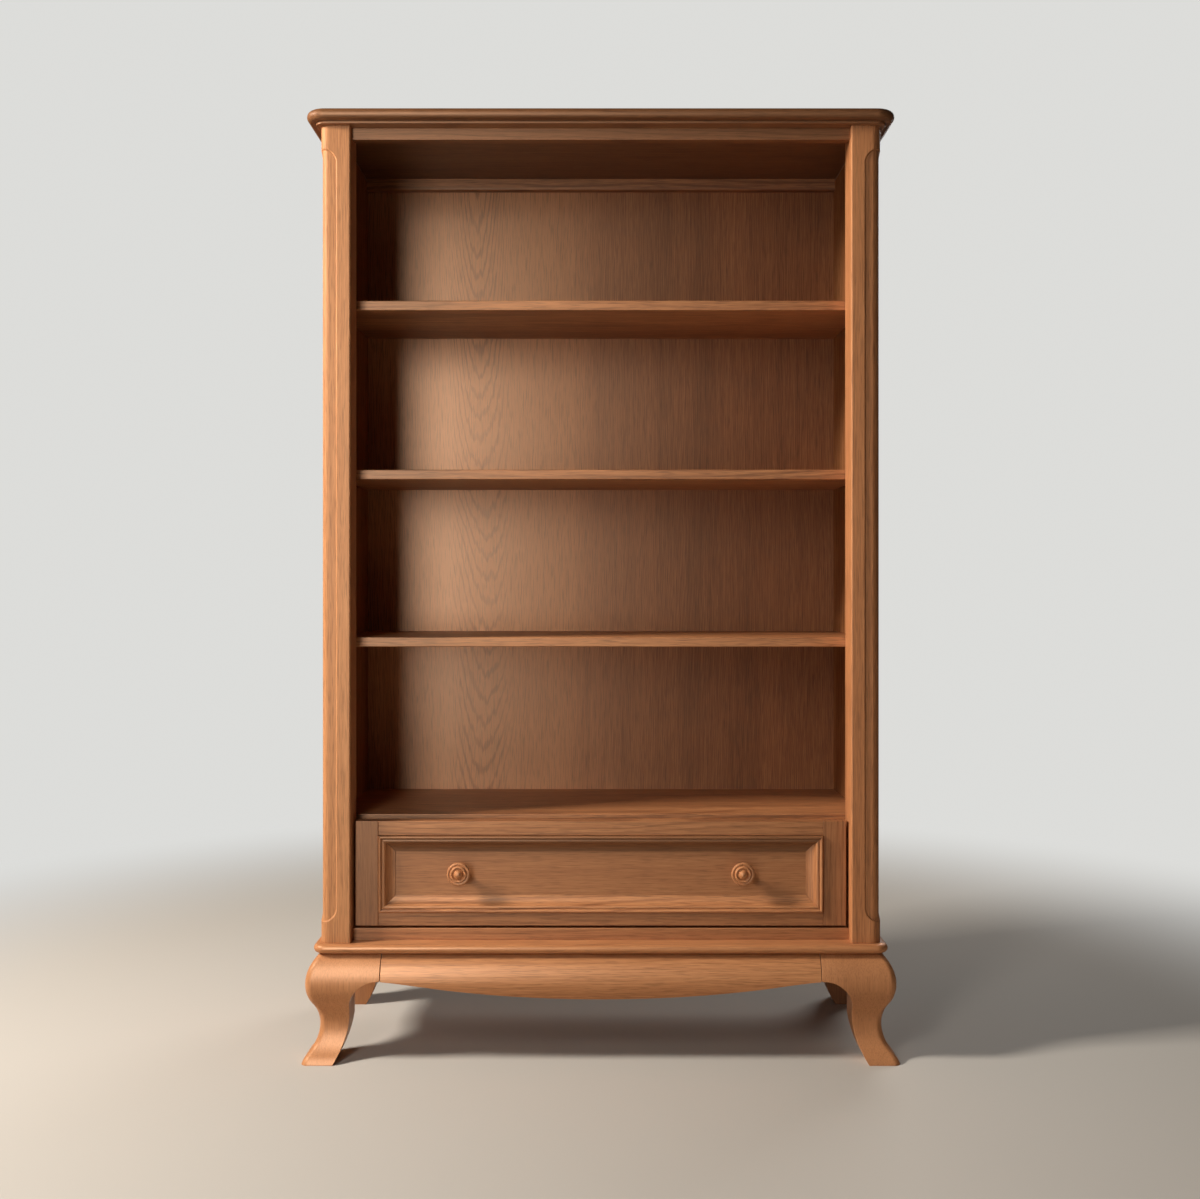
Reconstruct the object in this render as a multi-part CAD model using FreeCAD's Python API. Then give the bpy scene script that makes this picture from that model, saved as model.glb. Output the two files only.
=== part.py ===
import FreeCAD, Part
import math
import os

# A tall oak bookcase on curved legs: three shelves over a deck and one wide drawer.
# Millimetres. +Z is up, the front faces -Y, and X = 0 is the middle of the case.
# The origin lies on the floor at the middle of the whole bookcase's width and depth.

Vec = FreeCAD.Vector

# Whole bookcase
case_half_width = 530.7
case_depth = 380.0
total_height = 1800.0
base_height = 204.0
plinth_thickness = 16.5
crown_bead_thickness = 5.0
top_thickness = 20.0

# Corner posts and the stiles at the back
post_projection = 3.4
post_width = 58.3
post_depth = 62.0
post_corner_radius = 18.0
post_arris_radius = 3.0
recess_width = 30.6
recess_end_radius = 26.0
recess_depth = 2.7
recess_corner_radius = 15.3
recess_bevel = 2.0
recess_margin_below = 41.5
recess_margin_above = 45.0
rear_post_width = 23.5
rear_post_depth = 50.0

# Side panels and back
side_thickness = 18.0
side_tongue = 8.0
side_tongue_thickness = 9.0
back_thickness = 8.0
back_rebate_width = 10.0
back_inset = 3.0
cleat_thickness = 18.0
cleat_height = 25.0
cleat_arris = 4.0

# Top board, the bead under it and the rail under the bead
crown_overhang = 28.5
crown_corner_radius = 38.0
crown_nose_radius = 9.8
crown_bead_overhang = 11.5
crown_bead_corner_radius = 21.0
crown_bead_width = 46.0
top_rail_setback = 15.0
top_rail_height = 22.7
top_rail_thickness = 20.0

# Shelves and deck
shelf_thickness = 19.0
shelf_setback = 64.0
shelf_arris = 1.8
deck_rise = 235.0
shelf_dado = 6.0

# Rails, runners and guides that carry the drawer
drawer_rail_setback = 24.0
drawer_rail_depth = 36.0
drawer_rail_height = 22.8
rear_rail_depth = 24.0
runner_width = 50.0
guide_height = 52.0
stop_width = 16.0
stop_thickness = 10.0
stop_height = 22.0

# Drawer front: a frame, a sunk panel and a mitred moulding between them
drawer_top_above_deck_underside = 12.4
drawer_bottom_gap = 4.4
drawer_side_gap = 4.8
front_thickness = 22.0
stile_width = 44.0
front_top_rail_width = 28.0
front_bottom_rail_width = 25.0
panel_sink = 9.0
panel_thickness = 8.0
panel_groove = 7.0
moulding_width = 32.0
moulding_bead_width = 7.0
moulding_bead_rise = 5.5
moulding_bead_spring = 2.0
moulding_shoulder_width = 15.0
moulding_shoulder_drop = 0.8
moulding_lip = 0.8

# Drawer box
box_board = 12.0
box_front_board = 15.0
box_bottom_thickness = 6.0
box_bottom_lift = 9.0
box_headroom = 2.0
stop_clearance = 12.7
tail_count = 4
tail_width = 30.0
tail_angle = 8.0

# Knobs
knob_radius = 22.4
knob_projection = 33.0
screw_radius = 2.0
screw_head_radius = 4.5
screw_head_height = 2.4
screw_bite = 15.0

# Base: moulded frame, legs and aprons
plinth_overhang = 15.5
plinth_corner_radius = 24.0
plinth_nose_radius = 8.2
plinth_strip_width = 68.0
plinth_rear_depth = 50.0
leg_reach = 114.2
leg_column = 53.5
apron_height = 49.0
knee_overhang = 28.0
toe_overhang = 33.5
leg_corner_radius = 14.0
wing_back = 8.0
rear_wing_thickness = 25.0
rear_leg_depth = 55.0
apron_seam = 1.2
apron_front_drop = 34.0
apron_side_drop = 6.0
rear_base_rail_thickness = 20.0
rear_base_rail_height = 46.0
glue_block = 22.0
glue_block_length = 60.0

# Fits, and the spare length that cuts run past a face
fit = 0.15
slack = 0.3
overrun = 6.0

# Shelf tops as shares of the height from the deck to the top board
shelf_top_shares = [("upper", 0.7549), ("middle", 0.5062), ("lower", 0.2599)]

# Knobs: place across the drawer front and up its opening, as shares of each
knob_spacing_share = 0.636
knob_height_share = 0.518

# The knob's outline from its foot to its dome: radius as a share of the knob's
# radius, and distance out from the panel as a share of its projection
knob_line_shares = [
    (0.47, 0.00),
    (0.33, 0.25),
    (0.98, 0.58),
    (1.00, 0.68),
    (0.74, 0.77),
    (0.63, 0.83),
    (0.54, 0.77),
    (0.36, 0.94),
]

# The drawer moulding's swell and cove: place across the slope, and depth
swell_share = 0.55
cove_across_share = 0.38
cove_depth_share = 0.70

# The leg's outer line from the top down, in arcs that share their end points:
# overhang as a share of the knee's, and height as a share of the base's
leg_line_shares = [
    (-0.009, 1.0000),
    (0.991, 0.7451),
    (0.571, 0.5373),
    (0.143, 0.3333),
    (0.866, 0.0775),
    (1.068, 0.0392),
]

# The leg's inner line from the wing's tip down, in arcs: inset from the case's face
# as a share of the reach, and height as a share of the wing tip's
inner_line_shares = [
    (1.000, 1.000),
    (0.622, 0.897),
    (0.478, 0.645),
    (0.424, 0.316),
    (0.237, 0.000),
]

# The apron's lower edge, in arcs from one end to the other: place as a share of the
# half length, and drop as a share of the whole drop
apron_edge_shares = [
    (1.000, 0.000),
    (0.921, 0.103),
    (0.843, 0.232),
    (0.000, 1.000),
    (-0.843, 0.232),
    (-0.921, 0.103),
    (-1.000, 0.000),
]

# Worked out from the sizes above
post_face_y = (toe_overhang - case_depth) / 2
back_y = post_face_y + case_depth
post_outer = case_half_width + post_projection
post_inner = post_outer - post_width
side_outer = case_half_width - (rear_post_width - side_thickness)
side_inner = case_half_width - rear_post_width
plinth_top = base_height + plinth_thickness
top_underside = total_height - top_thickness
posts_top = top_underside - crown_bead_thickness
back_panel_back = back_y - back_inset
back_panel_front = back_panel_back - back_thickness
shelf_front = post_face_y + shelf_setback
deck_top = plinth_top + deck_rise
deck_underside = deck_top - shelf_thickness
shelf_tops = {name: deck_top + share * (top_underside - deck_top)
              for name, share in shelf_top_shares}
board_tops = [deck_top, *shelf_tops.values()]
drawer_rail_top = plinth_top + drawer_rail_height
front_face_y = post_face_y + drawer_rail_setback
front_back_y = front_face_y + front_thickness
drawer_half = post_inner - drawer_side_gap
drawer_bottom = drawer_rail_top + drawer_bottom_gap
drawer_top = deck_underside + drawer_top_above_deck_underside
opening_half = drawer_half - stile_width
opening_bottom = drawer_bottom + front_bottom_rail_width
opening_top = drawer_top - front_top_rail_width
panel_face_y = front_face_y + panel_sink
box_inner_y = front_back_y + box_front_board
box_back_y = back_panel_front - stop_clearance - stop_thickness
box_top = deck_underside - box_headroom
box_inner_half = drawer_half - box_board
box_back_low = drawer_bottom + box_bottom_lift + box_bottom_thickness + fit
runner_top = drawer_bottom - slack
knob_half_spacing = knob_spacing_share * opening_half
knob_height = opening_bottom + knob_height_share * (opening_top - opening_bottom)
leg_inner_top = base_height - apron_height


def box(x0, x1, y0, y1, z0, z1):
    return Part.makeBox(x1 - x0, y1 - y0, z1 - z0, Vec(x0, y0, z0))


def mirrored(shape):
    return shape.mirror(Vec(0, 0, 0), Vec(1, 0, 0))


def save(name, shape):
    shape.exportStep(os.path.join("parts", name + ".step"))


def save_pair(name, right_shape):
    save(name + "_right", right_shape)
    save(name + "_left", mirrored(right_shape))


def eased(shape, radius, wanted):
    edges = [edge for edge in shape.Edges if wanted(edge.BoundBox)]
    return shape.makeFillet(radius, edges)


def near(a, b):
    return abs(a - b) < fit


def arc(start, middle, end):
    return Part.Arc(start, middle, end).toShape()


def arc_chain(points):
    # Arcs through three points each, the next one starting where the last one ends
    return [arc(*points[i:i + 3]) for i in range(0, len(points) - 1, 2)]


def joined_lines(points):
    return [Part.makeLine(start, end) for start, end in zip(points, points[1:])]


def filled(edges):
    return Part.Face(Part.Wire(edges))


def polygon_prism(points, direction):
    return Part.Face(Part.makePolygon(points + points[:1])).extrude(direction)


def rounded_plate(overhang, corner_radius, z0, z1):
    # A plate as wide as the case plus its overhang, with round front corners in plan
    half = case_half_width + overhang
    front = post_face_y - overhang
    plate = box(-half, half, front, back_y, z0, z1)
    return eased(plate, corner_radius, lambda b: b.ZLength > b.YLength and near(b.YMax, front))


def nosed(plate, radius):
    # Round the plate's front and side edges, above and below
    return eased(plate, radius, lambda b: b.ZLength < fit and not near(b.YMin, back_y))


def mitred_strips(plate, overhang, front_width, side_width, z0, z1):
    # Cut the plate into a front strip and two side strips, mitred at the front corners
    half = case_half_width + overhang
    front = post_face_y - overhang
    inner = half - side_width
    low = z0 - overrun
    rise = Vec(0, 0, z1 - z0 + 2 * overrun)
    corner = [Vec(half + overrun, front - overrun, low), Vec(inner, front + side_width, low)]
    across = [Vec(-v.x, v.y, low) for v in corner]
    front_zone = [corner[0], corner[1], Vec(inner, front + front_width, low),
                  Vec(-inner, front + front_width, low), across[1], across[0]]
    side_zone = [corner[0], Vec(half + overrun, back_y + overrun, low),
                 Vec(inner, back_y + overrun, low), corner[1]]
    front_strip = plate.common(polygon_prism(front_zone, rise))
    side_strip = plate.common(polygon_prism(side_zone, rise))
    return front_strip, side_strip


def top_board():
    plate = rounded_plate(crown_overhang, crown_corner_radius, top_underside, total_height)
    return nosed(plate, crown_nose_radius)


def crown_beads():
    plate = rounded_plate(crown_bead_overhang, crown_bead_corner_radius, posts_top, top_underside)
    side_width = crown_bead_overhang + rear_post_width
    return mitred_strips(plate, crown_bead_overhang, crown_bead_width, side_width,
                         posts_top, top_underside)


def top_rail():
    y0 = post_face_y + top_rail_setback
    rail = box(-post_inner, post_inner, y0, y0 + top_rail_thickness,
               posts_top - top_rail_height, posts_top)
    return eased(rail, shelf_arris, lambda b: near(b.YMax, y0) and near(b.ZMax, rail.BoundBox.ZMin))


def recess_outline(outer, inward, depth_axis):
    # The stopped recess seen square to one face: round at both ends, out to the corner
    low = plinth_top + recess_margin_below
    high = posts_top - recess_margin_above
    inner = outer + inward * recess_width
    turn = inner - inward * recess_end_radius
    out = outer - inward * overrun
    lean = recess_end_radius * math.sqrt(0.5)
    knee = turn + inward * lean
    first_turn = low + recess_end_radius
    last_turn = high - recess_end_radius

    def at(across, z):
        return Vec(across, post_face_y - overrun, z) if depth_axis == "y" else Vec(0, across, z)

    edges = [
        Part.makeLine(at(out, low), at(turn, low)),
        arc(at(turn, low), at(knee, first_turn - lean), at(inner, first_turn)),
        Part.makeLine(at(inner, first_turn), at(inner, last_turn)),
        arc(at(inner, last_turn), at(knee, last_turn + lean), at(turn, high)),
        Part.makeLine(at(turn, high), at(out, high)),
        Part.makeLine(at(out, high), at(out, low)),
    ]
    return filled(edges)


def recess_tool():
    side_x = post_outer
    seen_from_front = recess_outline(side_x, -1, "y").extrude(Vec(0, post_depth, 0))
    seen_from_side = recess_outline(post_face_y, 1, "x").extrude(Vec(2 * case_half_width, 0, 0))
    core = box(post_inner - overrun, side_x - recess_depth, post_face_y + recess_depth,
               post_face_y + post_depth, plinth_top, posts_top)
    core = eased(core, recess_corner_radius,
                 lambda b: b.ZLength > post_depth and near(b.XMin, side_x - recess_depth)
                 and near(b.YMax, post_face_y + recess_depth))
    return seen_from_front.common(seen_from_side).cut(core)


def rim_edges(shape, blank):
    # The edges that a cut left on the blank's skin, without the blank's own
    def fresh(edge):
        middle = Part.Vertex(edge.valueAt((edge.FirstParameter + edge.LastParameter) / 2))
        on_skin = near(middle.distToShape(blank.Shells[0])[0], 0)
        return on_skin and not any(near(middle.distToShape(own)[0], 0) for own in blank.Edges)

    return [edge for edge in shape.Edges if fresh(edge)]


def front_post():
    blank = box(post_inner, post_outer, post_face_y, post_face_y + post_depth,
                plinth_top, posts_top)
    blank = eased(blank, post_corner_radius,
                  lambda b: b.ZLength > post_depth and near(b.XMin, post_outer)
                  and near(b.YMax, post_face_y))
    blank = eased(blank, post_arris_radius,
                  lambda b: b.ZLength > post_depth and near(b.XMax, post_inner)
                  and near(b.YMax, post_face_y))
    post = blank.cut(recess_tool())
    post = post.makeChamfer(recess_bevel, rim_edges(post, blank))
    return post.cut(panel_groove_cutter(post_face_y + post_depth, -1))


def panel_groove_cutter(face_y, direction):
    # The groove for the side panel's tongue, cut into a post's face
    middle = (side_inner + side_outer) / 2
    half = side_tongue_thickness / 2 + fit
    ends = sorted([face_y + direction * (side_tongue + slack), face_y - direction * overrun])
    return box(middle - half, middle + half, ends[0], ends[1],
               plinth_top - overrun, posts_top + overrun)


def rear_post():
    front = back_y - rear_post_depth
    post = box(side_inner, post_outer, front, back_y, plinth_top, posts_top)
    rebate = box(side_inner - overrun, side_inner + back_rebate_width,
                 back_panel_front - fit, back_y + overrun,
                 plinth_top - overrun, posts_top + overrun)
    return post.cut(rebate).cut(panel_groove_cutter(front, 1))


def side_panel():
    front = post_face_y + post_depth
    rear = back_y - rear_post_depth
    middle = (side_inner + side_outer) / 2
    half = side_tongue_thickness / 2
    panel = box(side_inner, side_outer, front, rear, plinth_top, posts_top)
    tongue = box(middle - half, middle + half, front - side_tongue, rear + side_tongue,
                 plinth_top, posts_top)
    panel = panel.fuse(tongue).removeSplitter()
    for top in board_tops:
        dado = box(side_inner - overrun, side_inner + shelf_dado + slack, front - overrun,
                   rear + overrun, top - shelf_thickness - fit, top + fit)
        panel = panel.cut(dado)
    return panel


def back_panel():
    # It runs up between the side beads to the top board
    half = side_inner + back_rebate_width - slack
    panel = box(-half, half, back_panel_front, back_panel_back, plinth_top, posts_top)
    head = box(-side_inner, side_inner, back_panel_front, back_panel_back, posts_top, top_underside)
    return panel.fuse(head).removeSplitter()


def back_cleat():
    front = back_panel_front - cleat_thickness
    low = top_underside - cleat_height
    cleat = box(-side_inner, side_inner, front, back_panel_front, low, top_underside)
    return eased(cleat, cleat_arris, lambda b: near(b.YMax, front) and near(b.ZMax, low))


def shelf(top):
    # Its ends sit in dados in the side panels, and it narrows between the rear stiles
    half = side_inner + shelf_dado
    low = top - shelf_thickness
    rear_post_front = back_y - rear_post_depth
    board = box(-half, half, shelf_front, rear_post_front - fit, low, top)
    tail = box(-side_inner, side_inner, rear_post_front - fit, back_panel_front, low, top)
    board = board.fuse(tail).removeSplitter()
    return eased(board, shelf_arris, lambda b: near(b.YMax, shelf_front) and b.XLength > half)


def drawer_rail():
    rail = box(-post_inner, post_inner, front_face_y, front_face_y + drawer_rail_depth,
               plinth_top, drawer_rail_top)
    return eased(rail, shelf_arris,
                 lambda b: near(b.YMax, front_face_y) and near(b.ZMin, drawer_rail_top))


def rear_web_rail():
    return box(-side_inner, side_inner, back_panel_front - rear_rail_depth, back_panel_front,
               plinth_top, drawer_rail_top)


def drawer_runner():
    return box(side_inner - runner_width, side_inner, post_face_y + post_depth,
               back_panel_front - rear_rail_depth, plinth_top, runner_top)


def drawer_guide():
    return box(drawer_half + slack, side_inner, post_face_y + post_depth,
               back_panel_front - rear_rail_depth, runner_top, runner_top + guide_height)


def drawer_stops():
    y0 = box_back_y + slack
    right = box(drawer_half - stop_width, drawer_half, y0, y0 + stop_thickness,
                runner_top, runner_top + stop_height)
    return Part.makeCompound([right, mirrored(right)])


def front_stile():
    stile = box(opening_half, drawer_half, front_face_y, front_back_y, drawer_bottom, drawer_top)
    groove = box(opening_half - overrun, opening_half + panel_groove, panel_face_y - fit,
                 panel_face_y + panel_thickness + fit, drawer_bottom - overrun, drawer_top + overrun)
    stile = stile.cut(groove)
    return eased(stile, shelf_arris,
                 lambda b: near(b.YMax, front_face_y) and b.ZLength > stile_width
                 and near(b.XMin, drawer_half))


def front_rail(z0, z1, groove_z):
    # A rail between the stiles, with a stub tenon at each end and a groove for the panel
    rail = box(-opening_half, opening_half, front_face_y, front_back_y, z0, z1)
    tenon_half = opening_half + panel_groove - slack
    tenon = box(-tenon_half, tenon_half, panel_face_y, panel_face_y + panel_thickness, z0, z1)
    rail = rail.fuse(tenon).removeSplitter()
    groove = box(-tenon_half - overrun, tenon_half + overrun, panel_face_y - fit,
                 panel_face_y + panel_thickness + fit, groove_z[0], groove_z[1])
    return rail.cut(groove)


def front_panel():
    half = opening_half + panel_groove - slack
    panel = box(-half, half, panel_face_y, panel_face_y + panel_thickness,
                opening_bottom - panel_groove + slack, opening_top + panel_groove - slack)
    for x in (-knob_half_spacing, knob_half_spacing):
        panel = panel.cut(screw_hole(x))
    return panel


def screw_hole(x):
    return Part.makeCylinder(screw_radius + slack, case_depth, Vec(x, panel_face_y - overrun, knob_height),
                             Vec(0, 1, 0))


def moulding_section(x):
    # Across the strip: down from its outer edge towards the panel, and out to the front
    def at(inward, out):
        return Vec(x, -out, -inward)

    sink = -panel_sink
    bead_middle = moulding_bead_width / 2
    slope = moulding_width - moulding_shoulder_width
    shoulder = moulding_shoulder_width - moulding_bead_width
    points = {
        "foot": at(0, sink),
        "spring": at(0, moulding_bead_spring),
        "bead": at(bead_middle, moulding_bead_rise),
        "quirk": at(moulding_bead_width, moulding_bead_spring),
        "swell": at(moulding_bead_width + swell_share * shoulder, moulding_bead_spring + moulding_lip),
        "shoulder": at(moulding_shoulder_width, -moulding_shoulder_drop),
        "cove": at(moulding_shoulder_width + cove_across_share * slope,
                   cove_depth_share * (sink + moulding_lip)),
        "lip": at(moulding_width, sink + moulding_lip),
        "toe": at(moulding_width, sink),
    }
    return [
        Part.makeLine(points["foot"], points["spring"]),
        arc(points["spring"], points["bead"], points["quirk"]),
        arc(points["quirk"], points["swell"], points["shoulder"]),
        arc(points["shoulder"], points["cove"], points["lip"]),
        Part.makeLine(points["lip"], points["toe"]),
        Part.makeLine(points["toe"], points["foot"]),
    ]


def moulding_strip(half_length):
    # One strip along X, with its outer edge at z = 0 and mitred at both ends
    strip = filled(moulding_section(-half_length)).extrude(Vec(2 * half_length, 0, 0))
    y0 = -moulding_bead_rise - overrun
    zone = [Vec(-half_length, y0, 0), Vec(half_length, y0, 0),
            Vec(half_length - moulding_width - overrun, y0, -moulding_width - overrun),
            Vec(-half_length + moulding_width + overrun, y0, -moulding_width - overrun)]
    depth = moulding_bead_rise + panel_sink + 2 * overrun
    return strip.common(polygon_prism(zone, Vec(0, depth, 0)))


def placed_moulding(half_length, turn, x, z):
    strip = moulding_strip(half_length)
    strip.rotate(Vec(0, 0, 0), Vec(0, 1, 0), turn)
    strip.translate(Vec(x, front_face_y, z))
    return strip


def front_mouldings():
    half = opening_half - slack / 2
    low = opening_bottom + slack / 2
    high = opening_top - slack / 2
    half_height = (high - low) / 2
    middle = (high + low) / 2
    return {
        "drawer_moulding_top": placed_moulding(half, 0, 0, high),
        "drawer_moulding_bottom": placed_moulding(half, 180, 0, low),
        "drawer_moulding_right": placed_moulding(half_height, 90, half, middle),
        "drawer_moulding_left": placed_moulding(half_height, -90, -half, middle),
    }


def box_groove():
    low = drawer_bottom + box_bottom_lift
    half = box_inner_half + box_board / 2 + fit
    return box(-half, half, box_inner_y - box_board / 2 - fit, box_back_y + overrun,
               low - fit, low + box_bottom_thickness + fit)


def dovetail_pins(z0, z1, shoulder_y, end_y):
    # The end of a cross board where it meets the right side: what the side's tails leave
    pitch = (z1 - z0) / tail_count
    wide = tail_width / 2
    narrow = wide - abs(end_y - shoulder_y) * math.tan(math.radians(tail_angle))
    y0, y1 = sorted([shoulder_y, end_y])
    pins = box(box_inner_half, drawer_half, y0, y1, z0, z1)
    for i in range(tail_count):
        z = z0 + (i + 0.5) * pitch
        tail = [Vec(box_inner_half, shoulder_y, z - narrow), Vec(box_inner_half, end_y, z - wide),
                Vec(box_inner_half, end_y, z + wide), Vec(box_inner_half, shoulder_y, z + narrow)]
        pins = pins.cut(polygon_prism(tail, Vec(box_board, 0, 0)))
    return pins


def front_pins():
    return dovetail_pins(drawer_bottom, box_top, box_inner_y, front_back_y)


def back_pins():
    return dovetail_pins(box_back_low, box_top, box_back_y - box_board, box_back_y)


def pinned(board, pins):
    return board.fuse([pins, mirrored(pins)]).removeSplitter()


def drawer_inner_front():
    board = box(-box_inner_half, box_inner_half, front_back_y, box_inner_y, drawer_bottom, box_top)
    board = pinned(board, front_pins()).cut(box_groove())
    for x in (-knob_half_spacing, knob_half_spacing):
        board = board.cut(screw_hole(x))
    return board


def drawer_side():
    side = box(box_inner_half, drawer_half, front_back_y, box_back_y, drawer_bottom, box_top)
    return side.cut(front_pins()).cut(back_pins()).cut(box_groove())


def drawer_back():
    board = box(-box_inner_half, box_inner_half, box_back_y - box_board, box_back_y,
                box_back_low, box_top)
    return pinned(board, back_pins())


def drawer_bottom_panel():
    low = drawer_bottom + box_bottom_lift
    half = box_inner_half + box_board / 2 - fit
    return box(-half, half, box_inner_y - box_board / 2 + fit, box_back_y,
               low, low + box_bottom_thickness)


def knob(x):
    # A turned knob with a rim, a ring and a dome, bored from behind for its screw
    def at(radius, out):
        return Vec(x + radius, panel_face_y - out, knob_height)

    outline = [at(radius * knob_radius, out * knob_projection) for radius, out in knob_line_shares]
    bore = screw_radius + fit
    bore_end = screw_bite + slack
    rest = [at(0, knob_projection), at(0, bore_end), at(bore, bore_end), at(bore, 0), outline[0]]
    return filled(joined_lines(outline + rest)).revolve(Vec(x, 0, knob_height), Vec(0, 1, 0), 360)


def drawer_knobs():
    return Part.makeCompound([knob(-knob_half_spacing), knob(knob_half_spacing)])


def knob_screws():
    screws = []
    for x in (-knob_half_spacing, knob_half_spacing):
        start = panel_face_y - screw_bite
        shank = Part.makeCylinder(screw_radius, box_inner_y - start, Vec(x, start, knob_height),
                                  Vec(0, 1, 0))
        head = Part.makeCylinder(screw_head_radius, screw_head_height,
                                 Vec(x, box_inner_y, knob_height), Vec(0, 1, 0))
        screws.append(shank.fuse(head).removeSplitter())
    return Part.makeCompound(screws)


def plinth_strips():
    plate = rounded_plate(plinth_overhang, plinth_corner_radius, base_height, plinth_top)
    plate = nosed(plate, plinth_nose_radius)
    return mitred_strips(plate, plinth_overhang, plinth_strip_width, plinth_strip_width,
                         base_height, plinth_top)


def plinth_rear():
    half = case_half_width + plinth_overhang - plinth_strip_width
    return box(-half, half, back_y - plinth_rear_depth, back_y, base_height, plinth_top)


def leg_line():
    # Overhang and height along the leg's outer line
    points = [(out * knee_overhang, height * base_height) for out, height in leg_line_shares]
    return points + [(toe_overhang, 0)]


def leg_outline(place):
    # The leg seen square to one side; place turns overhang and height into a point
    points = [place(*point) for point in leg_line()]
    rest = [points[-1], place(-leg_reach, 0), place(-leg_reach, base_height), points[0]]
    return filled(arc_chain(points) + joined_lines(rest))


def front_leg_block():
    # The same outline towards the front and the side, and a round corner where they meet
    spread = leg_reach + toe_overhang + overrun
    from_front = leg_outline(lambda out, z: Vec(case_half_width + out, post_face_y + leg_reach - spread, z))
    from_side = leg_outline(lambda out, z: Vec(case_half_width - leg_reach, post_face_y - out, z))
    block = from_front.extrude(Vec(0, spread, 0)).common(from_side.extrude(Vec(spread, 0, 0)))
    return eased(block, leg_corner_radius,
                 lambda b: near(b.XLength, b.YLength) and b.XMax > case_half_width)


def rear_leg_block():
    outline = leg_outline(lambda out, z: Vec(case_half_width + out, back_y - leg_reach, z))
    return outline.extrude(Vec(0, leg_reach, 0))


def inner_cutter(arcs, upright, place):
    # Everything inside a leg's inner line: its arcs and any upright edge below them;
    # place turns inset and height into a point
    far = leg_reach + overrun
    rest = [arcs[-1], *upright]
    rest += [(rest[-1][0], -overrun), (far, -overrun), (far, arcs[0][1]), arcs[0]]
    return filled(arc_chain([place(*point) for point in arcs])
                  + joined_lines([place(*point) for point in rest]))


def inner_line():
    return [(inset * leg_reach, height * leg_inner_top) for inset, height in inner_line_shares]


def leg_hollow(face_y, direction, wing, column):
    # The space behind the two wings, beside the leg's square column
    def span(d0, d1):
        return sorted([face_y + direction * d0, face_y + direction * d1])

    far = leg_reach + overrun
    top = base_height + overrun
    x_far = case_half_width - far
    y_wing = span(wing, far)
    y_column = span(column, far)
    beside = box(x_far, case_half_width - leg_column, y_wing[0], y_wing[1], -overrun, top)
    behind = box(x_far, case_half_width - wing_back, y_column[0], y_column[1], -overrun, top)
    return beside.fuse(behind)


def front_leg():
    line = inner_line()
    from_front = inner_cutter(line, [], lambda d, z: Vec(case_half_width - d,
                                                                 post_face_y - leg_reach, z))
    from_side = inner_cutter(line, [], lambda d, z: Vec(case_half_width - leg_reach - overrun,
                                                                post_face_y + d, z))
    leg = front_leg_block().cut(from_front.extrude(Vec(0, 2 * leg_reach + overrun, 0)))
    leg = leg.cut(from_side.extrude(Vec(2 * leg_reach, 0, 0)))
    return leg.cut(leg_hollow(post_face_y, 1, wing_back, leg_column))


def rear_leg():
    # From behind it matches the front leg; its side wing ends in an upright edge
    line = inner_line()
    from_front = inner_cutter(line, [], lambda d, z: Vec(case_half_width - d,
                                                                 back_y - leg_reach - overrun, z))
    bracket = line[:3]
    upright = [(rear_leg_depth, bracket[-1][1])]
    from_side = inner_cutter(bracket, upright, lambda d, z: Vec(case_half_width - leg_reach - overrun,
                                                                back_y - d, z))
    leg = rear_leg_block().cut(from_front.extrude(Vec(0, leg_reach + 2 * overrun, 0)))
    leg = leg.cut(from_side.extrude(Vec(2 * leg_reach, 0, 0)))
    return leg.cut(leg_hollow(back_y, -1, rear_wing_thickness, rear_leg_depth))


def apron(half_length, drop):
    # A moulded board along X, its face in the leg's knee line and its lower edge curved
    knee = leg_line()[:3]
    face = [Vec(-half_length, -out, z) for out, z in knee]
    low, high = face[-1].z, face[0].z
    rest = [face[-1], Vec(-half_length, wing_back, low), Vec(-half_length, wing_back, high), face[0]]
    board = filled(arc_chain(face) + joined_lines(rest)).extrude(Vec(2 * half_length, 0, 0))
    y0 = -knee_overhang - overrun
    under = low - overrun
    edge = [Vec(place * half_length, y0, leg_inner_top - share * drop) for place, share in apron_edge_shares]
    corners = [edge[-1], Vec(edge[-1].x, y0, under), Vec(edge[0].x, y0, under), edge[0]]
    below = filled(arc_chain(edge) + joined_lines(corners))
    return board.cut(below.extrude(Vec(0, knee_overhang + wing_back + 2 * overrun, 0)))


def front_apron():
    board = apron(case_half_width - leg_reach - apron_seam, apron_front_drop)
    board.translate(Vec(0, post_face_y, 0))
    return board


def side_apron():
    board = apron(case_depth / 2 - leg_reach - apron_seam, apron_side_drop)
    board.rotate(Vec(0, 0, 0), Vec(0, 0, 1), 90)
    board.translate(Vec(case_half_width, post_face_y + case_depth / 2, 0))
    return board


def rear_base_rail():
    half = case_half_width - leg_reach
    return box(-half, half, back_y - rear_base_rail_thickness, back_y,
               base_height - rear_base_rail_height, base_height)


def glue_blocks():
    # Blocks behind the front and side aprons and the rear rail, up against the frame
    blocks = []
    low = base_height - glue_block
    behind_front = post_face_y + wing_back
    before_rear = back_y - rear_base_rail_thickness - glue_block
    reach = case_half_width - 2 * leg_reach
    for x in (-reach, 0, reach):
        for y in (behind_front, before_rear):
            blocks.append(box(x - glue_block_length / 2, x + glue_block_length / 2, y, y + glue_block,
                              low, base_height))
    middle = post_face_y + case_depth / 2
    side = box(case_half_width - wing_back - glue_block, case_half_width - wing_back,
               middle - glue_block_length / 2, middle + glue_block_length / 2, low, base_height)
    blocks += [side, mirrored(side)]
    return Part.makeCompound(blocks)


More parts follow.
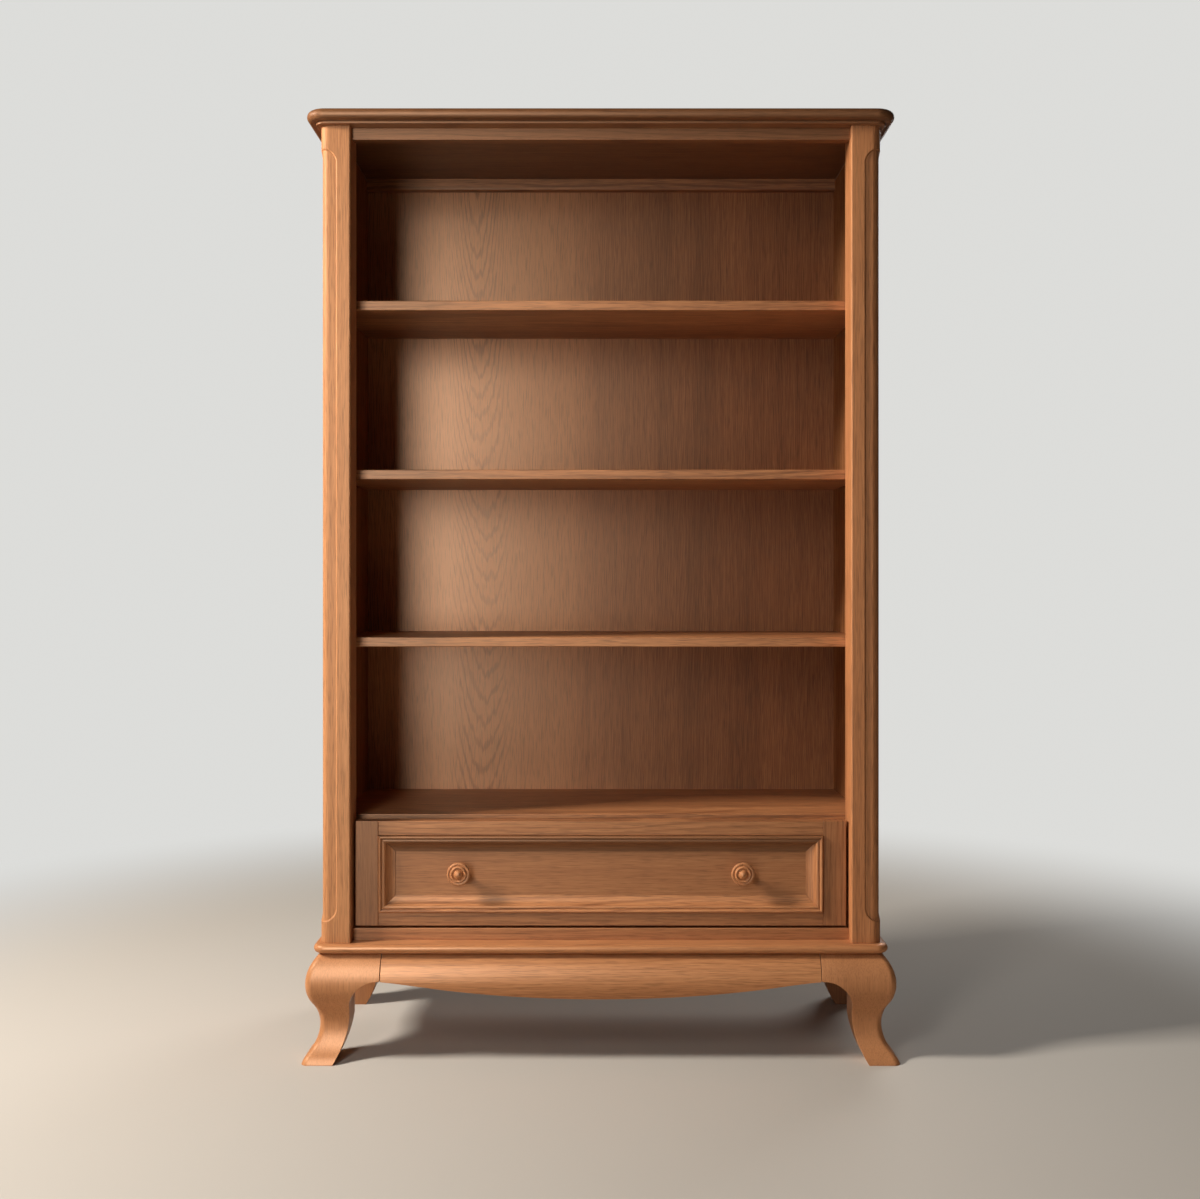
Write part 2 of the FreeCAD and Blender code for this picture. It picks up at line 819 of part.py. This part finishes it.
def build_case():
    save("top_board", top_board())
    bead_front, bead_right = crown_beads()
    save("crown_bead_front", bead_front)
    save_pair("crown_bead", bead_right)
    save("top_rail", top_rail())
    save_pair("front_post", front_post())
    save_pair("rear_post", rear_post())
    save_pair("side_panel", side_panel())
    save("back_panel", back_panel())
    save("back_cleat", back_cleat())
    for name, top in shelf_tops.items():
        save("shelf_" + name, shelf(top))
    save("deck_board", shelf(deck_top))
    save("drawer_rail", drawer_rail())
    save("rear_web_rail", rear_web_rail())
    save_pair("drawer_runner", drawer_runner())
    save_pair("drawer_guide", drawer_guide())
    save("drawer_stops", drawer_stops())


def build_drawer():
    save_pair("drawer_front_stile", front_stile())
    low_groove = (opening_bottom - panel_groove, opening_bottom + overrun)
    high_groove = (opening_top - overrun, opening_top + panel_groove)
    save("drawer_front_rail_bottom", front_rail(drawer_bottom, opening_bottom, low_groove))
    save("drawer_front_rail_top", front_rail(opening_top, drawer_top, high_groove))
    save("drawer_front_panel", front_panel())
    for name, strip in front_mouldings().items():
        save(name, strip)
    save("drawer_inner_front", drawer_inner_front())
    save_pair("drawer_side", drawer_side())
    save("drawer_back", drawer_back())
    save("drawer_bottom", drawer_bottom_panel())
    save("drawer_knobs", drawer_knobs())
    save("knob_screws", knob_screws())


def build_base():
    moulding_front, moulding_right = plinth_strips()
    save("plinth_moulding_front", moulding_front)
    save_pair("plinth_moulding", moulding_right)
    save("plinth_rear_strip", plinth_rear())
    save_pair("front_leg", front_leg())
    save_pair("rear_leg", rear_leg())
    save("apron_front", front_apron())
    save_pair("apron_side", side_apron())
    save("rear_base_rail", rear_base_rail())
    save("glue_blocks", glue_blocks())


os.makedirs("parts", exist_ok=True)
build_case()
build_drawer()
build_base()
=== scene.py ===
import math
import bpy
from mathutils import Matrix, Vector


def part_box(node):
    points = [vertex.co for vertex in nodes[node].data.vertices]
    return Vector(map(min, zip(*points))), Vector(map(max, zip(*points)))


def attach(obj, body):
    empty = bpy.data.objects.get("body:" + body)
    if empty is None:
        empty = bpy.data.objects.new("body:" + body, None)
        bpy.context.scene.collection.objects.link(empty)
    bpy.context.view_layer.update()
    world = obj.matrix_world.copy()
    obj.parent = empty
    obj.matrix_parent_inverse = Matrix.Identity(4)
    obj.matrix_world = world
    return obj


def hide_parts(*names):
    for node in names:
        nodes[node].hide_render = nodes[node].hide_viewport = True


# A satin oak bookcase in a plain pale studio. Metres; +Z is up and the front faces -Y.

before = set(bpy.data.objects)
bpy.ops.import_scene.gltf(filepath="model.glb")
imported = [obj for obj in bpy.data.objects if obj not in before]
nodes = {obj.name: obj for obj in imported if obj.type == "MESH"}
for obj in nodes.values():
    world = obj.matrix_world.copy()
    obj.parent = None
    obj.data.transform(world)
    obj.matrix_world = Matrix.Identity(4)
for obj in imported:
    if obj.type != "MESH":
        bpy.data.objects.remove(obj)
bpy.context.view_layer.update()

# The photograph's view: its frame, its focal length in pixels, and where the camera stands
frame_width = 1200
focal_pixels = 1321
horizon_rise_pixels = 20
centre_offset_pixels = 0.8
sensor_width = 36.0
camera_place = (0.0, -2.683, 0.912)

# Studio
floor_radius = 3.0
cove_radius = 1.2
cove_height = 7.0
floor_colour = (0.50, 0.45, 0.39, 1.0)
backdrop_colour = (0.72, 0.72, 0.70, 1.0)
fade_start = 1.2
fade_end = 2.5
paint_roughness = 0.8
sky_colour = (1.0, 0.98, 0.95, 1.0)
sky_strength = 0.03

# Lamps: place, the point they face, width, height, power and colour. The strip beside the
# camera shows only as the soft lustre on the boards
lamps = {
    "key": ((-2.9, -0.88, 2.35), (0.0, 0.0, 0.9), 0.6, 0.6, 180.0, (1.0, 0.97, 0.92)),
    "front": ((-0.92, -2.25, 1.9), (-0.1, 0.0, 0.9), 0.45, 1.2, 13.0, (1.0, 0.96, 0.90)),
    "rear": ((1.6, 2.6, 2.4), (0.0, 0.0, 0.9), 1.6, 1.6, 40.0, (1.0, 1.0, 1.0)),
    "strip": ((-1.0, -2.4, 1.25), (-0.1, 0.0, 0.9), 0.7, 1.8, 190.0, (1.0, 1.0, 1.0)),
}

# Oak: its stain where the wood is light, middling and dark and in the pores, the tint of
# its lustre, and where each stain stands between the darkest shade, 0, and the lightest, 1
oak_light = (0.56, 0.245, 0.098, 1.0)
oak_middle = (0.40, 0.155, 0.058, 1.0)
oak_dark = (0.20, 0.068, 0.024, 1.0)
pore_colour = (0.085, 0.032, 0.014, 1.0)
lustre = (1.0, 0.60, 0.37, 1.0)
dark_place = 0.12
middle_place = 0.50
light_place = 0.88

steel_colour = (0.55, 0.54, 0.52, 1.0)
steel_roughness = 0.35

# Growth rings: how far apart they are, how much slower they change along the trunk, and how
# far they wander. One turn of a wave texture spans wave_period of its own units
wide_ring = 0.0116
narrow_ring = 0.0044
trunk_stretch = 0.09
ring_wander = (0.09, 0.09, 0.0)
wave_period = math.pi / 10
ring_distortion = 3.0
ring_detail = 2.5
ring_detail_scale = 1.8

# Noises in the wood: how fast each changes across the grain and along it, in turns a metre,
# how many finer layers it has, and how strong each layer is beside the one before
wander_noise = (3.2, 1.1, 2.5, 0.5)
band_noise = (6.0, 0.7, 1.0, 0.5)
drift_noise = (13.0, 0.5, 1.5, 0.5)
stripe_noise = (110.0, 2.4, 3.0, 0.6)
fibre_noise = (380.0, 11.0, 3.0, 0.7)
pore_noise = (620.0, 28.0, 1.0, 0.5)

# Where each pattern turns from its full strength to nothing, or the other way about
late_wood_edges = (0.02, 0.42)
band_edges = (0.46, 0.62)
pore_edges = (0.33, 0.48)
least_band = 0.05

# How much each of them darkens or lightens the wood
late_wood_weight = 0.5
drift_weight = 0.7
stripe_weight = 0.4
fibre_weight = 1.0
pore_weight = 0.5

# The value of each pattern that leaves the wood as it is, and the shade it then has
late_wood_middle = 0.15
noise_middle = 0.5
middle_shade = 0.5

# How the wood is turned so that its grain runs up, across or from front to back
grain_turns = {
    "up": (0.0, 0.0, 0.0),
    "across": (0.0, math.radians(90), 0.0),
    "deep": (math.radians(90), 0.0, 0.0),
}

# A plain-sawn board: its arched figure by distance from the heart, and painted light, lighter
# near the heart and darker as painted shade far from it
arch_half_width = 0.03
arch_fade = 0.05
arch_least = 0.2
painted_light_reach = 0.42
painted_shade_share = 0.38

# Surface relief, and the small radius that sanding leaves on arrises
relief_strength = 0.10
relief_depth = 0.0004
pore_relief = 0.8
edge_softness = 0.0007
frame_edge_softness = 0.0013
arris_angle = math.radians(32)
arris_segments = 2
flat_angle = math.radians(0.5)
weld_distance = 0.00001

round_steps = 96
arc_steps = 12


def link(tree, source, target):
    if isinstance(source, bpy.types.NodeSocket):
        tree.links.new(source, target)
    else:
        target.default_value = source


def add(tree, kind, settings=None, **inputs):
    # A shader node with its settings, and its inputs given by name as a value or a socket
    made = tree.nodes.new(kind)
    for name, value in (settings or {}).items():
        setattr(made, name, value)
    for name, value in inputs.items():
        link(tree, value, made.inputs[name.replace("_", " ")])
    return made


def maths(tree, operation, first, second=0.0):
    made = tree.nodes.new("ShaderNodeMath")
    made.operation = operation
    link(tree, first, made.inputs[0])
    link(tree, second, made.inputs[1])
    return made.outputs[0]


def vector_maths(tree, operation, first, second):
    made = tree.nodes.new("ShaderNodeVectorMath")
    made.operation = operation
    link(tree, first, made.inputs[0])
    link(tree, second, made.inputs[1])
    return made.outputs[0]


def stretched(tree, vector, across, along):
    return vector_maths(tree, "MULTIPLY", vector, (across, across, along))


def noise(tree, vector, kind, output="Fac"):
    across, along, detail, roughness = kind
    made = add(tree, "ShaderNodeTexNoise", Vector=stretched(tree, vector, across, along),
               Scale=1.0, Detail=detail, Roughness=roughness)
    return made.outputs[output]


def ramp(tree, factor, stops):
    made = add(tree, "ShaderNodeValToRGB", Fac=factor)
    elements = made.color_ramp.elements
    while len(elements) < len(stops):
        elements.new(0.5)
    for element, (place, colour) in zip(elements, stops):
        element.position = place
        element.color = colour
    return made.outputs["Color"]


def edge(tree, factor, places, first, last):
    # A turn from one grey to another between two places
    greys = [(value, value, value, 1.0) for value in (first, last)]
    return ramp(tree, factor, list(zip(places, greys)))


def mixed(tree, blend, factor, first, second):
    made = tree.nodes.new("ShaderNodeMix")
    made.data_type = "RGBA"
    made.blend_type = blend
    link(tree, factor, made.inputs["Factor"])
    link(tree, first, made.inputs["A"])
    link(tree, second, made.inputs["B"])
    return made.outputs["Result"]


def faded(tree, value, start, end, first, last):
    made = add(tree, "ShaderNodeMapRange", {"interpolation_type": "SMOOTHSTEP"}, Value=value,
               From_Min=start, From_Max=end, To_Min=first, To_Max=last)
    return made.outputs["Result"]


def growth_rings(tree, turned, pith, ring):
    # The rings wander slowly along the board, so that flat faces show arches
    wander = noise(tree, turned, wander_noise, "Color")
    wander = vector_maths(tree, "SUBTRACT", wander, (noise_middle,) * 3)
    wander = vector_maths(tree, "MULTIPLY", wander, ring_wander)
    heart = vector_maths(tree, "ADD", turned, wander)
    heart = vector_maths(tree, "ADD", heart, pith)
    heart = stretched(tree, heart, 1.0, trunk_stretch)
    rings = add(tree, "ShaderNodeTexWave",
                {"wave_type": "RINGS", "rings_direction": "SPHERICAL", "wave_profile": "SIN"},
                Vector=heart, Scale=wave_period / ring, Distortion=ring_distortion,
                Detail=ring_detail, Detail_Scale=ring_detail_scale)
    return rings.outputs["Fac"]


def oak(name, grain, pith, figure=0.5, tone=1.0, paleness=0.0, contrast=1.0, roughness=0.50,
        arch_and_painted_light=0.0, ring=wide_ring, gloss=0.40):
    """Stained oak. grain is the way its fibres run, pith is how far off the heart of the
    tree lies, figure is how strongly the growth rings show, tone and paleness set how light
    and how washed-out the stain is, contrast spreads all the tones, arch_and_painted_light
    turns on the arched figure of a plain-sawn board and paints light on the wood near the
    heart and shade far from it, ring is how far apart the growth rings are, and gloss is
    how much of the lamps its finish mirrors."""
    material = bpy.data.materials.new(name)
    material.use_nodes = True
    tree = material.node_tree
    place = add(tree, "ShaderNodeTexCoord").outputs["Object"]
    turned = add(tree, "ShaderNodeMapping", Vector=place, Rotation=grain_turns[grain]).outputs[0]

    # Late wood is a thin dark line on each ring, clear in some bands and faint in others
    rings = growth_rings(tree, turned, pith, ring)
    late_wood = edge(tree, rings, late_wood_edges, 1.0, 0.0)
    if arch_and_painted_light:
        from_heart = vector_maths(tree, "ADD", turned, pith)
        aside = add(tree, "ShaderNodeSeparateXYZ", Vector=from_heart).outputs["X"]
        aside = maths(tree, "ABSOLUTE", aside)
        band = faded(tree, aside, arch_half_width, arch_half_width + arch_fade, 1.0, arch_least)
    else:
        band = noise(tree, turned, band_noise)
        band = edge(tree, band, band_edges, least_band, 1.0)
    late_wood = maths(tree, "MULTIPLY", late_wood, band)

    # Soft bands and stripes, fine fibres, and the dark pores that run with them
    drift = noise(tree, turned, drift_noise)
    stripes = noise(tree, turned, stripe_noise)
    fibres = noise(tree, turned, fibre_noise)
    pores = noise(tree, turned, pore_noise)
    shade = middle_shade
    for pattern, middle, weight in ((late_wood, late_wood_middle, -late_wood_weight * figure),
                                    (drift, noise_middle, drift_weight),
                                    (stripes, noise_middle, stripe_weight),
                                    (fibres, noise_middle, fibre_weight)):
        swing = maths(tree, "SUBTRACT", pattern, middle)
        swing = maths(tree, "MULTIPLY", swing, weight * contrast)
        shade = maths(tree, "ADD", swing, shade)
    # Painted light and shade: the board is lightened near the heart and darkened far from it, as
    # where the lamps fall strongly and weakly
    if arch_and_painted_light:
        painted_light_swing = faded(tree, aside, 0.0, painted_light_reach, 1.0 - painted_shade_share, -painted_shade_share)
        shade = maths(tree, "ADD", shade, maths(tree, "MULTIPLY", painted_light_swing, arch_and_painted_light))
    colour = ramp(tree, shade, [(dark_place, oak_dark), (middle_place, oak_middle),
                                (light_place, oak_light)])
    pore_mask = edge(tree, pores, pore_edges, 1.0, 0.0)
    pore_mask = maths(tree, "MULTIPLY", pore_mask, pore_weight * contrast)
    colour = mixed(tree, "MIX", pore_mask, colour, pore_colour)
    stain = (tone, tone * (1.0 + paleness), tone * (1.0 + 2.0 * paleness), 1.0)

    relief = maths(tree, "SUBTRACT", fibres, maths(tree, "MULTIPLY", pore_mask, pore_relief))
    bump = add(tree, "ShaderNodeBump", Strength=relief_strength, Distance=relief_depth,
               Height=relief)
    shader = tree.nodes["Principled BSDF"]
    link(tree, mixed(tree, "MULTIPLY", 1.0, colour, stain), shader.inputs["Base Color"])
    link(tree, bump.outputs["Normal"], shader.inputs["Normal"])
    link(tree, roughness, shader.inputs["Roughness"])
    link(tree, gloss, shader.inputs["Specular IOR Level"])
    link(tree, lustre, shader.inputs["Specular Tint"])
    return material


def steel():
    material = bpy.data.materials.new("steel")
    material.use_nodes = True
    shader = material.node_tree.nodes["Principled BSDF"]
    shader.inputs["Base Color"].default_value = steel_colour
    shader.inputs["Metallic"].default_value = 1.0
    shader.inputs["Roughness"].default_value = steel_roughness
    return material


def dress(names, material, softness):
    for name in names:
        piece = nodes[name]
        piece.data.materials.clear()
        piece.data.materials.append(material)
        if softness:
            soften_edges(piece, softness)


def weld(piece):
    piece.modifiers.new("weld", "WELD").merge_threshold = weld_distance


def soften_edges(piece, softness):
    # Round faces are shaded smooth, and sharp arrises get the small radius that sanding leaves
    piece.data.shade_smooth()
    weld(piece)
    flat = piece.modifiers.new("flat", "DECIMATE")
    flat.decimate_type = "DISSOLVE"
    flat.angle_limit = flat_angle
    bevel = piece.modifiers.new("arris", "BEVEL")
    bevel.width = softness
    bevel.segments = arris_segments
    bevel.limit_method = "ANGLE"
    bevel.angle_limit = arris_angle
    bevel.harden_normals = True
    bevel.use_clamp_overlap = False
    piece.modifiers.new("normals", "WEIGHTED_NORMAL")


def pair(name):
    return [name + "_left", name + "_right"]


# The boards: their pieces, the wood's name, the way its grain runs, where the heart of the
# tree lies, how the wood looks, and how softly the arrises are sanded
boards = [
    # The top board, crown bead and top rail are stained darker: painted shade, as though less
    # light fell on the top
    (["top_board"],
     "oak_top_painted_shade", "across", (0.3, 0.2, 0.12), {"tone": 0.47, "contrast": 0.8}, edge_softness),
    (["crown_bead_front", "top_rail"],
     "oak_top_rail_painted_shade", "across", (0.7, 0.25, 0.05), {"tone": 0.64, "contrast": 0.7}, edge_softness),
    (pair("crown_bead"),
     "oak_bead_ends_painted_shade", "deep", (0.4, 0.3, 0.1), {"tone": 0.62}, edge_softness),
    (["front_post_left"],
     "oak_post_left", "up", (0.35, 0.12, 0.4),
     {"figure": 0.3, "tone": 1.22, "paleness": 0.1, "contrast": 0.7, "gloss": 0.18},
     edge_softness),
    (["front_post_right"],
     "oak_post_right", "up", (-0.31, 0.16, 0.9),
     {"figure": 0.3, "tone": 1.22, "contrast": 0.7}, edge_softness),
    # The side panels and rear posts are stained darker: painted shade, standing in for the shade
    # inside the case
    ([*pair("rear_post"), *pair("side_panel")],
     "oak_sides_painted_shade", "up", (0.1, 0.33, 0.2), {"tone": 0.75, "gloss": 0.0}, edge_softness),
    # The back panel carries painted light, lighter at its left near the heart, and painted shade,
    # darker towards its right
    (["back_panel"],
     "oak_back_painted_light", "up", (0.265, -0.175, -2.1),
     {"figure": 1.45, "tone": 1.0, "contrast": 0.85, "roughness": 0.38, "arch_and_painted_light": 0.6,
      "ring": narrow_ring}, edge_softness),
    (["back_cleat", "shelf_upper", "shelf_middle", "shelf_lower"],
     "oak_shelves", "across", (0.5, 0.12, 0.31), {"tone": 0.98}, edge_softness),
    (["deck_board"],
     "oak_deck", "across", (0.4, 0.2, 0.1), {}, edge_softness),
    (["drawer_rail"],
     "oak_rail", "across", (0.7, 0.25, 0.05), {"contrast": 0.7}, edge_softness),
    (["plinth_moulding_front"],
     "oak_plinth", "across", (0.7, 0.25, 0.05),
     {"figure": 0.3, "tone": 1.2, "paleness": 0.05, "contrast": 0.6, "roughness": 0.38},
     edge_softness),
    ([*pair("plinth_moulding"), *pair("apron_side")],
     "oak_returns", "deep", (0.4, 0.3, 0.1),
     {"figure": 0.3, "tone": 1.2, "paleness": 0.05, "contrast": 0.6}, edge_softness),
    (["apron_front"],
     "oak_apron", "across", (0.2, 0.32, 0.16),
     {"figure": 0.4, "tone": 1.12, "paleness": 0.04, "contrast": 0.7, "roughness": 0.38},
     edge_softness),
    (pair("front_leg"),
     "oak_legs", "up", (0.24, 0.18, 0.7),
     {"figure": 0.2, "tone": 1.2, "paleness": 0.08, "contrast": 0.4, "roughness": 0.42},
     edge_softness),
    # The rear legs are a darker copy of the front legs' oak: painted shade
    (pair("rear_leg"),
     "oak_rear_legs_painted_shade", "up", (0.24, 0.18, 0.7),
     {"figure": 0.2, "tone": 0.85, "contrast": 0.5}, edge_softness),
    (pair("drawer_front_stile"),
     "oak_stiles", "up", (0.15, 0.21, 0.6), {"tone": 0.78, "contrast": 0.8}, frame_edge_softness),
    (["drawer_front_rail_top"],
     "oak_drawer_rail_top", "across", (0.26, 0.06, 0.3),
     {"figure": 0.7, "tone": 0.92, "contrast": 0.8}, frame_edge_softness),
    (["drawer_front_rail_bottom"],
     "oak_drawer_rail_bottom", "across", (0.1, 0.3, 0.2),
     {"tone": 0.85, "contrast": 0.8}, frame_edge_softness),
    (["drawer_front_panel"],
     "oak_drawer_panel", "across", (0.33, 0.4, 0.1),
     {"figure": 0.3, "tone": 0.88, "contrast": 0.7}, 0.0),
    # The top moulding is stained dark as painted shade under its bead, and the bottom moulding
    # light as painted light on its upward slope
    (["drawer_moulding_top"],
     "oak_moulding_top_painted_shade", "across", (0.16, 0.2, 0.5),
     {"figure": 0.3, "tone": 0.52, "contrast": 0.7}, edge_softness),
    (["drawer_moulding_bottom"],
     "oak_moulding_bottom_painted_light", "across", (0.16, 0.02, 0.5),
     {"figure": 0.9, "tone": 1.12, "contrast": 0.9}, edge_softness),
    (pair("drawer_moulding"),
     "oak_moulding_ends", "up", (0.2, 0.2, 0.5), {"contrast": 0.7}, edge_softness),
    (["drawer_back", "drawer_stops", "rear_web_rail", "plinth_rear_strip", "rear_base_rail",
      "glue_blocks"],
     "inner_wood", "across", (0.3, 0.5, 0.2),
     {"figure": 0.3, "tone": 1.4, "paleness": 0.25}, edge_softness),
    (["drawer_bottom"],
     "drawer_base", "across", (0.1, 0.5, 0.6),
     {"figure": 0.3, "tone": 1.5, "paleness": 0.3}, edge_softness),
    ([*pair("drawer_side"), *pair("drawer_runner"), *pair("drawer_guide")],
     "inner_wood_deep", "deep", (0.3, 0.1, 0.4),
     {"figure": 0.3, "tone": 1.4, "paleness": 0.25}, edge_softness),
]


def dress_boards():
    woods = {}
    for names, wood, grain, pith, looks, softness in boards:
        woods[wood] = oak(wood, grain, pith, **looks)
        dress(names, woods[wood], softness)
    dress(["drawer_inner_front"], woods["inner_wood"], 0.0)
    dress(["knob_screws"], steel(), 0.0)


# The knob's outline from its foot to the top of its dome, in arcs: centre, radius and the
# angles where each starts and ends. Across it is a share of the knob's radius, and out from
# the panel it is measured in the same unit
knob_arcs = [
    ((0.40, 0.05), 0.06, -90, 60),
    ((0.66, 0.40), 0.34, 205, 125),
    ((0.86, 0.98), 0.14, -75, 75),
    ((0.735, 1.105), 0.03, -60, -120),
    ((0.60, 1.14), 0.105, 5, 150),
    ((0.46, 1.175), 0.03, -40, -140),
    ((0.0, 1.06), 0.413, 18, 90),
]


def knob_outline(radius):
    outline = [(0.0, 0.0)]
    for (across, out), size, start, end in knob_arcs:
        for step in range(arc_steps + 1):
            turn = math.radians(start + (end - start) * step / arc_steps)
            outline.append((radius * max(0.0, across + size * math.cos(turn)),
                            radius * max(0.0, out + size * math.sin(turn))))
    return outline


def make_knobs():
    low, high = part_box("drawer_knobs")
    radius = (high.z - low.z) / 2
    wood = oak("oak_knobs", "deep", (0.4, 0.25, 0.2), figure=0.3, tone=1.1, contrast=0.6)
    for name, x in (("knob_left", low.x + radius), ("knob_right", high.x - radius)):
        knob = revolved(name, knob_outline(radius))
        knob.location = (x, high.y, (low.z + high.z) / 2)
        knob.rotation_euler = (math.radians(90), 0.0, 0.0)
        knob.data.materials.append(wood)
        weld(knob)
        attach(knob, "drawer")
        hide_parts("drawer_knobs")


def revolved(name, outline):
    # A round sheet about the Z axis from an outline of radius and height
    turns = [2 * math.pi * step / round_steps for step in range(round_steps)]
    points = [(radius * math.cos(turn), radius * math.sin(turn), z)
              for radius, z in outline for turn in turns]
    faces = []
    for row in range(len(outline) - 1):
        low, high = row * round_steps, (row + 1) * round_steps
        for step in range(round_steps):
            after = (step + 1) % round_steps
            faces.append((low + step, low + after, high + after, high + step))
    mesh = bpy.data.meshes.new(name)
    mesh.from_pydata(points, [], faces)
    mesh.shade_smooth()
    piece = bpy.data.objects.new(name, mesh)
    bpy.context.scene.collection.objects.link(piece)
    return piece


def studio_paint(name):
    # Plain pale paint; far from the bookcase the camera sees it as an even backdrop
    material = bpy.data.materials.new(name)
    material.use_nodes = True
    tree = material.node_tree
    shader = tree.nodes["Principled BSDF"]
    shader.inputs["Base Color"].default_value = floor_colour
    shader.inputs["Roughness"].default_value = paint_roughness
    place = add(tree, "ShaderNodeTexCoord").outputs["Object"]
    reach = add(tree, "ShaderNodeVectorMath", {"operation": "LENGTH"}, Vector=place)
    fade = faded(tree, reach.outputs["Value"], fade_start, fade_end, 0.0, 1.0)
    seen = add(tree, "ShaderNodeLightPath").outputs["Is Camera Ray"]
    even = add(tree, "ShaderNodeEmission", Color=backdrop_colour).outputs[0]
    mix = tree.nodes.new("ShaderNodeMixShader")
    link(tree, maths(tree, "MULTIPLY", fade, seen), mix.inputs[0])
    link(tree, shader.outputs[0], mix.inputs[1])
    link(tree, even, mix.inputs[2])
    tree.links.new(mix.outputs[0], tree.nodes["Material Output"].inputs["Surface"])
    return material


def make_floor():
    turns = [2 * math.pi * step / round_steps for step in range(round_steps)]
    rim = [(floor_radius * math.cos(turn), floor_radius * math.sin(turn), 0.0) for turn in turns]
    mesh = bpy.data.meshes.new("floor")
    mesh.from_pydata(rim, [], [tuple(range(round_steps))])
    floor = bpy.data.objects.new("floor", mesh)
    bpy.context.scene.collection.objects.link(floor)
    floor.data.materials.append(studio_paint("floor"))


def make_cove():
    # Beyond the floor's rim the backdrop curves up; only the camera sees it
    outline = [(floor_radius, 0.0)]
    for step in range(1, arc_steps + 1):
        turn = math.radians(90) * step / arc_steps
        outline.append((floor_radius + cove_radius * math.sin(turn),
                        cove_radius * (1 - math.cos(turn))))
    outline.append((floor_radius + cove_radius, cove_height))
    cove = revolved("cove", outline)
    cove.data.materials.append(studio_paint("cove"))
    cove.visible_diffuse = False
    cove.visible_glossy = False
    cove.visible_shadow = False


def make_sky():
    world = bpy.data.worlds.new("studio")
    bpy.context.scene.world = world
    world.use_nodes = True
    background = world.node_tree.nodes["Background"]
    background.inputs["Color"].default_value = sky_colour
    background.inputs["Strength"].default_value = sky_strength


def softbox(name, place, target, width, height, power, colour):
    data = bpy.data.lights.new(name, "AREA")
    data.shape = "RECTANGLE"
    data.size = width
    data.size_y = height
    data.energy = power
    data.color = colour
    lamp = bpy.data.objects.new(name, data)
    lamp.location = place
    lamp.rotation_euler = (Vector(target) - Vector(place)).to_track_quat("-Z", "Y").to_euler()
    lamp.visible_camera = False
    bpy.context.scene.collection.objects.link(lamp)
    return lamp


def make_lights():
    for name, facts in lamps.items():
        lamp = softbox(name, *facts)
        lamp.visible_diffuse = name != "strip"


def make_camera():
    data = bpy.data.cameras.new("camera")
    data.sensor_width = sensor_width
    data.lens = sensor_width * focal_pixels / frame_width
    data.shift_x = -centre_offset_pixels / frame_width
    data.shift_y = -horizon_rise_pixels / frame_width
    camera = bpy.data.objects.new("camera", data)
    camera.location = camera_place
    camera.rotation_euler = (math.radians(90), 0.0, 0.0)
    bpy.context.scene.collection.objects.link(camera)
    bpy.context.scene.camera = camera


bpy.context.scene.view_settings.view_transform = "Standard"
make_camera()
make_sky()
make_lights()
make_floor()
make_cove()
dress_boards()
make_knobs()
